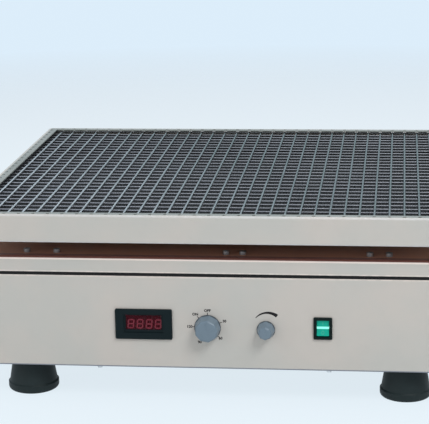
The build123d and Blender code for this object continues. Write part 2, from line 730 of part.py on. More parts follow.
def transformer():
    """Laminated core with its winding, on a foot plate."""
    x, y = -BASE_WIDTH / 2 + TRANSFORMER_INSET_X, BACK - TRANSFORMER_INSET_Y
    base = PLATE_TOP + CORE_FEET[1]
    winding = slab(COIL, x, y, base + (CORE[2] - COIL[2]) / 2)
    winding = fillet(winding.edges().filter_by(Axis.Z), COIL[2] / 6)
    feet = slab((CORE_FEET[0], CORE[1], CORE_FEET[1]), x, y, PLATE_TOP)
    return slab(CORE, x, y, base) + winding + feet


def control_board():
    """Speed control board with its heat sink, three capacitors and a relay, on standoffs."""
    x, y = -BASE_WIDTH / 2 + BOARD_INSET_X, FRONT + BOARD_INSET_Y
    low = PLATE_TOP + BOARD_STAND
    top, half_x, half_y = low + BOARD[2], BOARD[0] / 2, BOARD[1] / 2
    board = slab(BOARD, x, y, low)
    board += slab(HEAT_SINK, x - half_x + 2 * HEAT_SINK[0], y, top)
    board += slab(RELAY, x, y - half_y + RELAY[1] + BOARD_CORNER, top)
    for step in range(3):
        place = x + CAPACITOR_PITCH * (step + 0.4), y + half_y - CAPACITOR_PITCH
        board += disc(CAPACITOR_RADIUS, top, top + CAPACITOR_HEIGHT, *place)
    for side in (-1, 1):
        for end in (-1, 1):
            corner = x + side * (half_x - BOARD_CORNER), y + end * (half_y - BOARD_CORNER)
            board += disc(BOARD_CORNER / 2, PLATE_TOP, low, *corner)
    return board


INLET_SIZE, INLET_CUT = (50, 30, 3), (27.5, 20.5)
FUSE_RADIUS, FUSE_DEPTH = 6, 30
INLET_DEPTH = 25


def power_inlet():
    """Appliance inlet: flange outside, shrouded socket with three blades."""
    width, height, thick = INLET_SIZE
    cut_x, cut_y = INLET_CUT
    body = extrude(RectangleRounded(width, height, 6), thick)
    body += Pos(0, 0, -INLET_DEPTH / 2) * Box(cut_x - 0.4, cut_y - 0.4, INLET_DEPTH)
    well = chamfer(
        Rectangle(cut_x - 3.5, cut_y - 4.5).vertices().sort_by(Axis.Y)[-2:], 3
    )
    body -= Pos(0, 0, -15) * extrude(well, thick + 15.5)
    blade = Pos(0, 0, -15) * extrude(Rectangle(2, 4), 11)
    body += [Pos(7 * step, -2 if step else 2) * blade for step in (-1, 0, 1)]
    return rear(INLET) * body


def fuse_holder():
    body = Pos(0, 0, -FUSE_DEPTH / 2) * Cylinder(FUSE_RADIUS, FUSE_DEPTH)
    cap = extrude(RegularPolygon(FUSE_RADIUS + 3, 6), 3) + Pos(0, 0, 5.5) * Cylinder(FUSE_RADIUS, 5)
    slot = Pos(0, 0, 8) * Box(1.4, 2 * FUSE_RADIUS, 2)
    return rear(FUSE) * (body + cap - slot)


# ---------------------------------------------------------------- front panel controls
BEZEL_OUT, RECESS_FLOOR = 4, 2.4
WINDOW_SET, WINDOW_PLAY = 1.3, 0.2


def meter_bezel():
    """Snap-in frame with a sloped rim and a stepped recess round the window."""
    bezel = extrude(RectangleRounded(METER_WIDTH, METER_HEIGHT, 2), BEZEL_OUT)
    bezel = chamfer(bezel.faces().sort_by(Axis.Z)[-1].edges(), 1.2)
    recess = Pos(0, WINDOW_RISE / 2, RECESS_FLOOR) * extrude(Rectangle(*METER_RECESS), BEZEL_OUT)
    return panel(METER) * (bezel - recess - window_block(0, -1, BEZEL_OUT + 1))


def window_block(play, low, high):
    shape = Rectangle(WINDOW_WIDTH - play, WINDOW_HEIGHT - play)
    return Pos(0, WINDOW_RISE, low) * extrude(shape, high - low)


def meter_window():
    return panel(METER) * window_block(WINDOW_PLAY, WINDOW_SET, RECESS_FLOOR)


def meter_display():
    return panel(METER) * window_block(WINDOW_PLAY, 0, WINDOW_SET)


def meter_body():
    size = METER_WIDTH - 5, METER_HEIGHT - 5
    return panel(METER) * Pos(0, 0, -METER_DEPTH) * extrude(Rectangle(*size), METER_DEPTH)


def knob(radius, face, length, facets):
    """Skirted knob: a faceted grip that tapers to a chamfered face, bored from behind for its spindle."""
    skirt = extrude(Circle(radius), KNOB_SKIRT)
    stations = [(KNOB_SKIRT, radius), (length - KNOB_CHAMFER, face), (length, face - KNOB_CHAMFER)]
    sections = [
        Pos(0, 0, z) * fillet(RegularPolygon(reach, facets).vertices(), reach / facets)
        for z, reach in stations
    ]
    grip = loft(sections, ruled=True)
    bore = Pos(0, 0, -1) * extrude(Circle(SPINDLE_RADIUS + SEAT_FIT), length * 0.7 + 1)
    return Pos(0, 0, KNOB_GAP) * (skirt + grip - bore)


def timer_knob():
    length = TIMER_KNOB_LENGTH - KNOB_GAP
    return panel(TIMER) * knob(TIMER_KNOB_RADIUS, TIMER_FACE_RADIUS, length, TIMER_FACETS)


def speed_knob():
    length = SPEED_KNOB_LENGTH - KNOB_GAP
    return panel(SPEED) * knob(SPEED_KNOB_RADIUS, SPEED_FACE_RADIUS, length, SPEED_FACETS)


SPINDLE_BACK = 18
TIMER_BODY = 56, 56, 40
POT_RADIUS, POT_DEPTH = 14, 20


def spindle(place, length):
    """Spindle from inside its control to near the bottom of the knob's bore."""
    rod = Pos(0, 0, -SPINDLE_BACK) * extrude(Circle(SPINDLE_RADIUS), SPINDLE_BACK + length)
    return panel(place) * rod


def rotary_body(place, shape, depth):
    """A control behind the panel, with its bushing through the wall and a bore for the spindle."""
    body = Pos(0, 0, -SHEET - depth) * extrude(shape, depth)
    body += Pos(0, 0, -SHEET - 1) * extrude(Circle(BUSHING_RADIUS), SHEET + 1)
    bore = Pos(0, 0, -SPINDLE_BACK - 0.5) * extrude(Circle(SPINDLE_RADIUS + RUNNING), SPINDLE_BACK + 5)
    return panel(place) * (body - bore)


SWITCH_FLANGE = 3.4
SWITCH_DEPTH = 26
ROCKER_RADIUS, ROCKER_WIDTH, ROCKER_PIVOT = 11.4, 16.6, -2.4
ROCKER_RISE, ROCKER_VALLEY = 2.6, 0.8
ROCKER_CLEARANCE = 0.4


def switch_housing():
    flange = extrude(RectangleRounded(SWITCH_WIDTH, SWITCH_HEIGHT, 1.5), SWITCH_FLANGE)
    flange = chamfer(flange.faces().sort_by(Axis.Z)[-1].edges(), 0.8)
    body = Pos(0, 0, -SWITCH_DEPTH) * extrude(
        Rectangle(SWITCH_WIDTH - 3.6, SWITCH_HEIGHT - 3.6), SWITCH_DEPTH
    )
    opening = Rectangle(
        ROCKER_WIDTH + 2 * ROCKER_CLEARANCE, 2 * (ROCKER_RADIUS + ROCKER_CLEARANCE)
    )
    depth = ROCKER_RADIUS - ROCKER_PIVOT + ROCKER_CLEARANCE
    well = Pos(0, 0, -depth) * extrude(opening, depth + SWITCH_FLANGE + 1)
    return panel(SWITCH) * (flange + body - well)


def power_rocker():
    """Two-sided rocker, round about its pivot, tipped to its ON side at rest."""
    profile = Circle(ROCKER_RADIUS)
    rise, valley = ROCKER_RISE - ROCKER_PIVOT, ROCKER_VALLEY - ROCKER_PIVOT
    tall = 2 * ROCKER_RADIUS
    edge = 2 * rise - valley
    roof = make_face(
        Polyline([(-tall, edge), (0, valley), (tall, edge), (tall, tall), (-tall, tall)], close=True)
    )
    belly = Pos(0, -0.75 * ROCKER_RADIUS) * Rectangle(2 * tall, 0.6 * ROCKER_RADIUS)
    solid = extrude(profile - roof - belly, ROCKER_WIDTH / 2, both=True)
    # the profile's x runs up the panel and its y runs out of it
    stand = Plane(origin=(0, 0, ROCKER_PIVOT), x_dir=(0, 1, 0), z_dir=(1, 0, 0))
    return panel(SWITCH) * (stand * (Rot(0, 0, -ROCKER_ANGLE) * solid))


# ---------------------------------------------------------------- write every piece
long_springs, cross_springs = springs()
save("tray_shell", tray_shell())
save("spring_combs", *spring_combs())
save("hook_rods", *hook_rods())
save("long_springs", *long_springs)
save("cross_springs", *cross_springs)
save("rubber_mat", rubber_mat())
save("carriage_plate", carriage_plate())
save("carriage_screws", *carriage_screws())
save("drive_pin_housing", pin_housing(DRIVE_RACE, DRIVE_PIN_WIDTH, DRIVE_RIM))
save(
    "guide_pin_housings",
    *[pin_housing(GUIDE_RACE, GUIDE_PIN_WIDTH, GUIDE_RIM, *place) for place in GUIDE_PLACES],
)
drive_pin_bearing, guide_pin_bearings = carriage_bearings()
save("drive_pin_bearing", drive_pin_bearing)
save("guide_pin_bearings", *guide_pin_bearings)

save("drive_crank", drive_crank())
save("drive_shaft", drive_shaft())
save("counterweight", counterweight())
save("driven_pulley", pulley(PULLEY_RADIUS, SHAFT_RADIUS + SEAT_FIT, 0, 7))
for name, place in zip(("front_left", "front_right", "rear_left", "rear_right"), GUIDE_PLACES):
    save(f"guide_crank_{name}", guide_crank(*place))

save(
    "drive_housing",
    deck_housing(
        HOUSING_BASE,
        DRIVE_BARREL,
        DRIVE_FLANGE,
        HOUSING_RACE,
        HOUSING_RACE_WIDTH,
        HOUSING_RACE - RACE_LIP,
        0,
        CENTRE_Y,
    ),
)
save(
    "guide_housings",
    *[
        deck_housing(
            GUIDE_HOUSING_BASE,
            GUIDE_BARREL,
            GUIDE_HOUSING_FLANGE,
            GUIDE_RACE,
            GUIDE_RACE_WIDTH,
            GUIDE_RACE - RACE_LIP,
            x,
            y - ORBIT_RADIUS,
        )
        for x, y in GUIDE_PLACES
    ],
)
drive_bearings, guide_bearings = deck_bearings()
save("drive_bearings", *drive_bearings)
save("guide_bearings", *guide_bearings)

save("base_shell", base_shell())
save("top_cover", top_cover())
save("seam_strip", seam_strip())
save("deck_plate", deck_plate())
save("deck_screws", *deck_screws())
save("main_frame", main_frame())
save("bottom_plate", bottom_plate())
save("bottom_screws", *bottom_screws())
for name, place in zip(("front_left", "front_right", "rear_left", "rear_right"), FOOT_PLACES):
    save(f"foot_{name}", foot(*place))
save("foot_bolts", *[foot_bolt(*place) for place in FOOT_PLACES])

save("motor", motor())
save("motor_bracket", motor_bracket())
save("motor_shaft", motor_shaft())
save("motor_pulley", pulley(MOTOR_PULLEY_RADIUS, MOTOR_SHAFT_RADIUS + SEAT_FIT, MOTOR_X, 0))
save("drive_belt", drive_belt())
save("transformer", transformer())
save("control_board", control_board())
save("power_inlet", power_inlet())
save("fuse_holder", fuse_holder())

save("meter_bezel", meter_bezel())
save("meter_window", meter_window())
save("meter_display", meter_display())
save("meter_body", meter_body())
save("timer_knob", timer_knob())
save("timer_spindle", spindle(TIMER, TIMER_KNOB_LENGTH * 0.6))
save("timer_body", rotary_body(TIMER, RectangleRounded(*TIMER_BODY[:2], 4), TIMER_BODY[2]))
save("speed_knob", speed_knob())
save("speed_spindle", spindle(SPEED, SPEED_KNOB_LENGTH * 0.6))
save("speed_potentiometer", rotary_body(SPEED, Circle(POT_RADIUS), POT_DEPTH))
save("switch_housing", switch_housing())
save("power_rocker", power_rocker())
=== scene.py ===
from math import atan, atan2, cos, hypot, pi, radians, sin, tan

import bpy
from mathutils import Matrix, Vector


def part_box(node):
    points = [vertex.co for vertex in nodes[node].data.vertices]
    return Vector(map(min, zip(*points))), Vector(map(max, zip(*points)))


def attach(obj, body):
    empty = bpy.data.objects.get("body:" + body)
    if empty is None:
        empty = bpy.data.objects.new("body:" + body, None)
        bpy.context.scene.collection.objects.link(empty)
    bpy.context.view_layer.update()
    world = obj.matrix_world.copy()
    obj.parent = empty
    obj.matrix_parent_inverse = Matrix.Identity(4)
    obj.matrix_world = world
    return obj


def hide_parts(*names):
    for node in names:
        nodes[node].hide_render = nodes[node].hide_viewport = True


# Orbital shaker: coil springs, ribbed mat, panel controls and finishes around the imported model.
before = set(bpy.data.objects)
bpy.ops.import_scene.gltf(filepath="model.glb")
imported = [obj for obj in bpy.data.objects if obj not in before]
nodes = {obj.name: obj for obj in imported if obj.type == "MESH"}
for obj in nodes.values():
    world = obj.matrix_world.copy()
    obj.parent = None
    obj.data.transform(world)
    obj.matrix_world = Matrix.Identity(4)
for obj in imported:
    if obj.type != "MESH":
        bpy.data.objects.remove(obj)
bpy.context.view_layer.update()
print("frame:", len(nodes), "nodes")

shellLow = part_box("base_shell")[0]
front = shellLow.y  # the plane of the control panel


# camera, light and floor
view = {
    "place": (0.254328, -2.404245, 0.802154),
    "turn": 6.675,  # degrees to the left
    "tilt": 13.94,  # degrees down
    "roll": -1.037,
    "lens": 137.31,
}


def addCamera():
    camera = bpy.data.objects.new("camera", bpy.data.cameras.new("camera"))
    bpy.context.scene.collection.objects.link(camera)
    camera.data.lens = view["lens"]
    camera.data.sensor_width = 36
    camera.data.clip_end = 100
    turn = Matrix.Rotation(radians(view["turn"]), 4, "Z")
    aim = turn @ Matrix.Rotation(radians(90 - view["tilt"]), 4, "X")
    roll = Matrix.Rotation(radians(view["roll"]), 4, "Z")
    camera.matrix_world = Matrix.Translation(view["place"]) @ aim @ roll
    bpy.context.scene.camera = camera


lamps = {
    "key": {"place": (1.5, -2.1, 2.5), "size": 1.2, "power": 56},
    "fill": {"place": (-2.3, -2.0, 1.2), "size": 2.4, "power": 17},
    "top": {"place": (0.3, 1.1, 2.7), "size": 1.6, "power": 22},
}
sky = {
    "light": 0.56,
    "backdrop": (0.72, 0.85, 0.96),
    "floor": (0.74, 0.76, 0.78),
    "pale": (0.83, 0.93, 1.0),
    "veil": 0.86,  # share of the floor that the pale backdrop takes
    "fade": (1.0, 3.2),  # from the middle of the floor
}


def addLamp(name):
    lamp = bpy.data.lights.new(name, "AREA")
    lamp.size = lamps[name]["size"]
    lamp.energy = lamps[name]["power"]
    holder = bpy.data.objects.new(name, lamp)
    bpy.context.scene.collection.objects.link(holder)
    holder.location = lamps[name]["place"]
    holder.rotation_euler = (-Vector(lamps[name]["place"])).to_track_quat("-Z", "Y").to_euler()


# shader maths
# A value that takes part in Python sums: each sum adds a Math node.
class Signal:
    def __init__(self, finish, socket):
        self.finish = finish
        self.socket = socket

    def __add__(self, other):
        return self.finish.maths("ADD", self, other)

    def __radd__(self, other):
        return self.finish.maths("ADD", other, self)

    def __sub__(self, other):
        return self.finish.maths("SUBTRACT", self, other)

    def __rsub__(self, other):
        return self.finish.maths("SUBTRACT", other, self)

    def __mul__(self, other):
        return self.finish.maths("MULTIPLY", self, other)

    def __rmul__(self, other):
        return self.finish.maths("MULTIPLY", other, self)

    def __truediv__(self, other):
        return self.finish.maths("DIVIDE", self, other)

    def __gt__(self, other):
        return self.finish.maths("GREATER_THAN", self, other)

    def __lt__(self, other):
        return self.finish.maths("LESS_THAN", self, other)

    def __abs__(self):
        return self.finish.maths("ABSOLUTE", self)

    def clamp(self):
        return self.finish.node("ShaderNodeClamp", {}, {"Value": self})


class Finish:
    def __init__(self, name, colour, roughness, metallic=0.0):
        self.material = bpy.data.materials.new(name)
        self.material.use_nodes = True
        self.tree = self.material.node_tree
        self.shader = self.tree.nodes["Principled BSDF"]
        self.set("Base Color", colour)
        self.set("Roughness", roughness)
        self.set("Metallic", metallic)
        self.places = None

    def put(self, socket, value):
        if isinstance(value, Signal):
            self.tree.links.new(value.socket, socket)
        elif isinstance(value, tuple) and len(value) == 3 and socket.type == "RGBA":
            socket.default_value = (*value, 1)
        else:
            socket.default_value = value

    # any node: its type, its settings, the values or links of its sockets
    def node(self, kind, settings, values, output=0):
        made = self.tree.nodes.new(kind)
        for name, value in settings.items():
            if name == "stops":
                ramp = made.color_ramp.elements
                for spot, stop in zip(ramp, value):
                    spot.position, spot.color = stop[0], (*stop[1], 1)
                for stop in value[2:]:
                    spot = ramp.new(stop[0])
                    spot.color = (*stop[1], 1)
            else:
                setattr(made, name, value)
        for name, value in values.items():
            self.put(made.inputs[name], value)
        return Signal(self, made.outputs[output])

    def maths(self, operation, *values):
        return self.node("ShaderNodeMath", {"operation": operation}, dict(enumerate(values)))

    def mix(self, share, first, second):
        return self.node("ShaderNodeMix", {"data_type": "RGBA"}, {0: share, 6: first, 7: second}, 2)

    def at(self, axis):
        if self.places is None:
            coordinates = self.tree.nodes.new("ShaderNodeTexCoord")
            self.places = Signal(self, coordinates.outputs["Object"])
            split = self.tree.nodes.new("ShaderNodeSeparateXYZ")
            self.tree.links.new(self.places.socket, split.inputs[0])
            self.split = [Signal(self, split.outputs[index]) for index in range(3)]
        return self.places if axis is None else self.split["xyz".index(axis)]

    # noise of a grain in metres, stretched along an axis when the scale differs
    def noise(self, grain, detail=3.0, stretch=(1, 1, 1)):
        place = self.at(None)
        if stretch != (1, 1, 1):
            place = self.node("ShaderNodeMapping", {}, {"Vector": place, "Scale": stretch})
        values = {"Vector": place, "Scale": 1 / grain, "Detail": detail}
        return self.node("ShaderNodeTexNoise", {}, values)

    def band(self, value, low, high):
        values = {"Value": value, "From Min": low, "From Max": high}
        return self.node("ShaderNodeMapRange", {}, values)

    def set(self, name, value):
        self.put(self.shader.inputs[name], value)

    def bump(self, height, depth, strength=1.0):
        values = {"Height": height, "Distance": depth, "Strength": strength}
        self.set("Normal", self.node("ShaderNodeBump", {}, values))

    # how near a point is to the edges of a box, 1 on the edge
    def edges(self, box, reach):
        near = []
        for axis in range(3):
            middle, half = (box[0][axis] + box[1][axis]) / 2, (box[1][axis] - box[0][axis]) / 2
            away = half - abs(self.at("xyz"[axis]) - middle)
            near.append((1 - away / reach).clamp())
        return (near[0] * near[1] + near[1] * near[2] + near[2] * near[0]).clamp()


def dress(finish, *names):
    for name in names:
        mesh = nodes[name].data
        mesh.materials.clear()
        mesh.materials.append(finish.material)


def paintPiece(finish, piece):
    piece.data.materials.clear()
    piece.data.materials.append(finish.material)


# finishes
sheetPaint = {
    "warm": (0.503, 0.477, 0.444),
    "cool": (0.467, 0.466, 0.440),
    "combs": ((0.245, 0.265, 0.25), (0.195, 0.215, 0.20)),
    "edge": (0.80, 0.71, 0.66),  # painted highlight along the folds, broken up by wear
    # the tray's painted edge highlight, bluer
    "trayEdgeHighlight": (0.66, 0.70, 0.77),
    "bottomShade": (0.20, 0.22, 0.26),  # painted shade along the bottom fold of the shell
    "bottomShadeHeight": 0.0022,
    "darkInside": (0.040, 0.046, 0.050),  # a darker colour inside the tray
    "peel": 0.0016,  # grain of the powder coat
    "litEdgeReach": 0.0024,  # how far the painted edge highlight and the wear reach from an edge
    "roughness": 0.46,
}


def paintedSheet(name, box, tones=None, edge=sheetPaint["edge"], overlays=()):
    warm, cool = tones or (sheetPaint["warm"], sheetPaint["cool"])
    finish = Finish(name, warm, sheetPaint["roughness"])
    cloud = finish.band(finish.noise(0.09, 4), 0.38, 0.62)
    colour = finish.mix(cloud, warm, cool)
    grime = finish.band(finish.noise(0.02, 6), 0.55, 0.8) * 0.12
    colour = finish.mix(grime, colour, tuple(0.8 * part for part in warm))
    # the folds are painted lighter: a painted highlight, broken up by wear noise
    near = finish.edges(box, sheetPaint["litEdgeReach"])
    litWornEdges = near * (0.45 + 0.55 * finish.band(finish.noise(0.008, 4), 0.4, 0.6))
    colour = finish.mix(litWornEdges * 0.8, colour, edge)
    for covered, other in overlays:
        colour = finish.mix(covered(finish), colour, other)
    finish.set("Base Color", colour)
    peel = finish.noise(sheetPaint["peel"], 2)
    finish.set("Roughness", sheetPaint["roughness"] - 0.08 + peel * 0.12 + litWornEdges * 0.1)
    finish.bump(peel + finish.noise(0.03, 2) * 0.6, 0.00006, 0.55)
    return finish


def darkPaint(name, colour, roughness):
    finish = Finish(name, colour, roughness)
    dust = finish.band(finish.noise(0.012, 6), 0.5, 0.75) * 0.25
    finish.set("Base Color", finish.mix(dust, colour, tuple(0.55 * part + 0.10 for part in colour)))
    grain = finish.noise(0.0011, 2)
    finish.set("Roughness", roughness - 0.06 + grain * 0.14)
    finish.bump(grain, 0.00005, 0.5)
    return finish


wireReflectionRamp = (-0.38, 0.04)  # ramp of the painted reflection, over x and half of y


def wire(name, bright, dull, roughness, along, tarnishAndReflection=None):
    finish = Finish(name, bright, roughness, 1.0)
    stretch = (0.12, 1, 1) if along == "x" else (1, 0.12, 1)
    stain = finish.band(finish.noise(0.006, 5, stretch), 0.42, 0.68)
    colour = finish.mix(stain, bright, dull)
    # painted reflection: the springs of the right and rear are painted darker than those of the
    # front left corner, for the darker surroundings they mirror
    if tarnishAndReflection:
        dimReflection = finish.band(finish.at("x") + finish.at("y") * 0.5, *wireReflectionRamp)
        colour = finish.mix(dimReflection * (0.8 + stain * 0.2), colour, tarnishAndReflection)
    finish.set("Base Color", colour)
    finish.set("Roughness", roughness + stain * 0.16)
    return finish


def turnedSteel(name, colour, roughness, grain=0.0006):
    finish = Finish(name, colour, roughness, 1.0)
    tool = finish.noise(grain, 3, (1, 1, 6))
    tarnishAndReflection = finish.band(finish.noise(0.01, 5), 0.5, 0.72)
    dull = tuple(0.62 * part for part in colour)
    finish.set("Base Color", finish.mix(tarnishAndReflection * 0.35, colour, dull))
    finish.set("Roughness", roughness + tool * 0.1 + tarnishAndReflection * 0.1)
    finish.bump(tool, 0.00002, 0.5)
    return finish


def castMetal(name, colour, roughness, metallic):
    finish = Finish(name, colour, roughness, metallic)
    skin = finish.noise(0.0022, 5)
    shade = finish.band(finish.noise(0.015, 4), 0.4, 0.7)
    finish.set("Base Color", finish.mix(shade * 0.4, colour, tuple(0.7 * part for part in colour)))
    finish.set("Roughness", roughness - 0.05 + skin * 0.16)
    finish.bump(skin, 0.00012, 0.6)
    return finish


def rubber(name, colour, roughness, grain):
    finish = Finish(name, colour, roughness)
    skin = finish.noise(grain, 3)
    bloom = finish.band(finish.noise(0.014, 5), 0.48, 0.75)
    pale = tuple(part * 1.6 + 0.006 for part in colour)
    finish.set("Base Color", finish.mix(bloom * 0.3, colour, pale))
    finish.set("Specular IOR Level", 0.2)
    finish.set("Roughness", roughness + bloom * 0.1)
    finish.bump(skin, 0.00006, 0.6)
    return finish


def mouldedPlastic(name, colour, roughness, grain, box=None, gloss=0.5, skirt=None):
    finish = Finish(name, colour, roughness)
    finish.set("Specular IOR Level", gloss)
    skin = finish.noise(grain, 2)
    shade = finish.band(finish.noise(0.009, 4), 0.4, 0.7)
    tint = finish.mix(shade * 0.3, colour, tuple(0.86 * part for part in colour))
    if box:
        worn = finish.edges(box, 0.0016) * finish.band(finish.noise(0.003, 4), 0.45, 0.65)
        tint = finish.mix(worn * 0.4, tint, tuple(part * 1.2 + 0.02 for part in colour))
    if skirt:
        shaded = tuple(0.35 * part for part in colour)
        tint = finish.mix(finish.at("y") > box[1].y - skirt, tint, shaded)
    finish.set("Base Color", tint)
    finish.set("Roughness", roughness - 0.04 + skin * 0.1)
    finish.bump(skin, 0.00003, 0.5)
    return finish


# a finish that drifts between two tones
def mottled(name, tones, roughness, gloss, grain, detail, limits):
    finish = Finish(name, tones[0], roughness)
    drift = finish.band(finish.noise(grain, detail), *limits)
    finish.set("Base Color", finish.mix(drift, *tones))
    finish.set("Specular IOR Level", gloss)
    return finish


# modelling helpers
def pickOnly(*pieces):
    bpy.ops.object.select_all(action="DESELECT")
    for piece in pieces:
        piece.select_set(True)
    bpy.context.view_layer.objects.active = pieces[0]


def named(name):
    piece = bpy.context.object
    piece.name = piece.data.name = name
    return piece


def edit():
    bpy.ops.object.mode_set(mode="EDIT")


def leave():
    bpy.ops.object.mode_set(mode="OBJECT")


# selects faces by a test on their middle and normal, and stays in edit mode
def pickFaces(piece, test):
    edit()
    bpy.ops.mesh.select_mode(type="FACE")
    bpy.ops.mesh.select_all(action="DESELECT")
    leave()
    for face in piece.data.polygons:
        face.select = test(face.center, face.normal)
    edit()


# moves the points that pass a test, from object mode and back
def shiftPoints(piece, test, move):
    edit()
    bpy.ops.mesh.select_mode(type="VERT")
    bpy.ops.mesh.select_all(action="DESELECT")
    leave()
    for point in piece.data.vertices:
        point.select = test(point.co)
    edit()
    bpy.ops.transform.translate(value=move)
    leave()


def settle(piece, place=None):
    pickOnly(piece)
    bpy.ops.object.transform_apply(location=True, rotation=True, scale=True)
    if place is not None:
        piece.data.transform(place)
    return piece


def copyTo(piece, place):
    twin = piece.copy()
    twin.data = piece.data.copy()
    twin.data.transform(place)
    bpy.context.scene.collection.objects.link(twin)
    return twin


def joined(name, pieces):
    pickOnly(*pieces)
    if len(pieces) > 1:
        bpy.ops.object.join()
    return named(name)


def finishModifier(piece, label):
    pickOnly(piece)
    bpy.ops.object.modifier_apply(modifier=label)


# a frame on the control panel: x to the right, y up, z out of the panel
def onPanel(x, height, out=0.0):
    return Matrix.Translation((x, front - out, height)) @ Matrix.Rotation(radians(90), 4, "X")


# the CAD piece with its edges rounded off
def softened(name, node, width, body, finish):
    piece = nodes[node].copy()
    piece.data = nodes[node].data.copy()
    for key in list(piece.keys()):
        del piece[key]
    piece.parent = None
    bpy.context.scene.collection.objects.link(piece)
    piece.name = piece.data.name = name
    pickOnly(piece)
    edit()
    bpy.ops.mesh.select_all(action="SELECT")
    bpy.ops.mesh.remove_doubles(threshold=0.000005)
    bpy.ops.mesh.dissolve_limited(angle_limit=radians(0.5))
    leave()
    bevel = piece.modifiers.new("round", "BEVEL")
    bevel.width, bevel.segments, bevel.limit_method = width, 3, "ANGLE"
    bevel.angle_limit = radians(24)
    finishModifier(piece, "round")
    bpy.ops.object.shade_smooth_by_angle(angle=radians(35))
    paintPiece(finish, piece)
    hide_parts(node)
    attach(piece, body)
    return piece


# springs
springs = {
    "pitch": 0.0012,  # crest to crest of the winding
    "depth": 0.0003,  # crest to valley
    "sides": 8,
    "perPiece": 11,
    "loopWire": 0.00035,
    "rod": 0.0015,
    "rodGap": 0.0018,  # from the end of the coil to the middle of the rod
    "longSpacing": 0.020,
    "crossSpacing": 0.0204,
}


def windSpring(name, length, radius):
    turns = round(length / springs["pitch"])
    pitch = length / turns
    valley = radius - springs["depth"]
    swell = radius / valley
    bpy.ops.object.select_all(action="DESELECT")
    bpy.ops.mesh.primitive_circle_add(
        vertices=springs["sides"], radius=valley, location=(0, 0, -length / 2)
    )
    coil = named(name)
    edit()
    for grow in (swell, 1 / swell):
        bpy.ops.mesh.extrude_region_move(TRANSFORM_OT_translate={"value": (0, 0, pitch / 2)})
        bpy.ops.transform.resize(value=(grow, grow, 1), center_override=(0, 0, -length / 2))
    leave()
    wind = coil.modifiers.new("wind", "ARRAY")
    wind.count = turns
    wind.use_relative_offset = False
    wind.use_constant_offset = True
    wind.constant_offset_displace = (0, 0, pitch)
    wind.use_merge_vertices = True
    wind.merge_threshold = 0.00001
    finishModifier(coil, "wind")
    edit()
    bpy.ops.mesh.select_all(action="SELECT")
    bpy.ops.mesh.fill_holes(sides=springs["sides"])
    bpy.ops.mesh.select_all(action="SELECT")
    bpy.ops.mesh.normals_make_consistent(inside=False)
    leave()
    settle(coil)
    # a full loop round the rod at each end
    reach = springs["rod"] + springs["loopWire"] * 1.1
    rodHeight = length / 2 + springs["rodGap"]
    bpy.ops.object.select_all(action="DESELECT")
    bpy.ops.mesh.primitive_circle_add(
        vertices=6, radius=springs["loopWire"], location=(0, reach, rodHeight)
    )
    loop = named(name + "Loop")
    edit()
    bpy.ops.mesh.spin(steps=14, angle=2 * pi, center=(0, 0, rodHeight), axis=(1, 0, 0))
    bpy.ops.mesh.select_all(action="SELECT")
    bpy.ops.mesh.remove_doubles(threshold=0.00001)
    bpy.ops.mesh.normals_make_consistent(inside=False)
    leave()
    settle(loop)
    other = copyTo(loop, Matrix.Rotation(pi, 4, "X"))
    coil = joined(name, [coil, loop, other])
    bpy.ops.object.shade_smooth()
    coil.data.transform(Matrix.Rotation(radians(90), 4, "X"))
    return coil


def layRow(name, node, across, spacing, finish):
    low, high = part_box(node)
    along = 1 - across
    radius = (high.z - low.z) / 2
    spring = windSpring(name, high[along] - low[along], radius)
    if along == 0:
        spring.data.transform(Matrix.Rotation(radians(90), 4, "Z"))
    middle = (low + high) / 2
    span = high[across] - low[across] - 2 * radius
    count = round(span / spacing) + 1
    places = []
    for step in range(count):
        place = middle.copy()
        place[across] = low[across] + radius + span * step / (count - 1)
        places.append(Matrix.Translation(place))
    groups = -(-count // springs["perPiece"])
    for group in range(groups):
        row = [copyTo(spring, place) for place in places[group::groups]]
        piece = joined(f"{name}{group + 1}", row)
        paintPiece(finish, piece)
        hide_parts(node)
        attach(piece, "platform")
    bpy.data.objects.remove(spring)


# mat
mat = {"ribs": 132, "base": 0.0012, "slope": 0.0009}


def ribMat(finish):
    low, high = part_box("rubber_mat")
    pitch = (high.x - low.x) / mat["ribs"]
    plate = copyTo(nodes["rubber_mat"], Matrix.Identity(4))
    for key in list(plate.keys()):
        del plate[key]
    plate.parent = None
    share = mat["base"] / (high.z - low.z)
    lift = Matrix.Translation((0, 0, low.z * (1 - share)))
    plate.data.transform(lift @ Matrix.Diagonal((1, 1, share, 1)))
    bpy.ops.object.select_all(action="DESELECT")
    start = (low.x + pitch / 2, (low.y + high.y) / 2, low.z + mat["base"])
    bpy.ops.mesh.primitive_plane_add(size=1, location=start)
    rib = named("matRib")
    rib.scale = (pitch * 0.98, (high.y - low.y) * 0.985, 1)
    settle(rib)
    edit()
    bpy.ops.mesh.inset(thickness=mat["slope"])
    bpy.ops.transform.translate(value=(0, 0, high.z - low.z - mat["base"]))
    leave()
    row = rib.modifiers.new("row", "ARRAY")
    row.count = mat["ribs"]
    row.use_relative_offset = False
    row.use_constant_offset = True
    row.constant_offset_displace = (pitch, 0, 0)
    finishModifier(rib, "row")
    piece = joined("ribbedMat", [rib, plate])
    paintPiece(finish, piece)
    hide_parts("rubber_mat")
    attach(piece, "platform")


# meter
meter = {
    "digits": 4,
    "height": 0.0118,
    "width": 0.0074,
    "pitch": 0.0126,
    "shift": (0.0012, -0.0024),  # from the middle of the display
    "stroke": 0.0021,
    "lean": 5,  # degrees
    "thick": 0.00015,
    "gap": 0.00022,
}


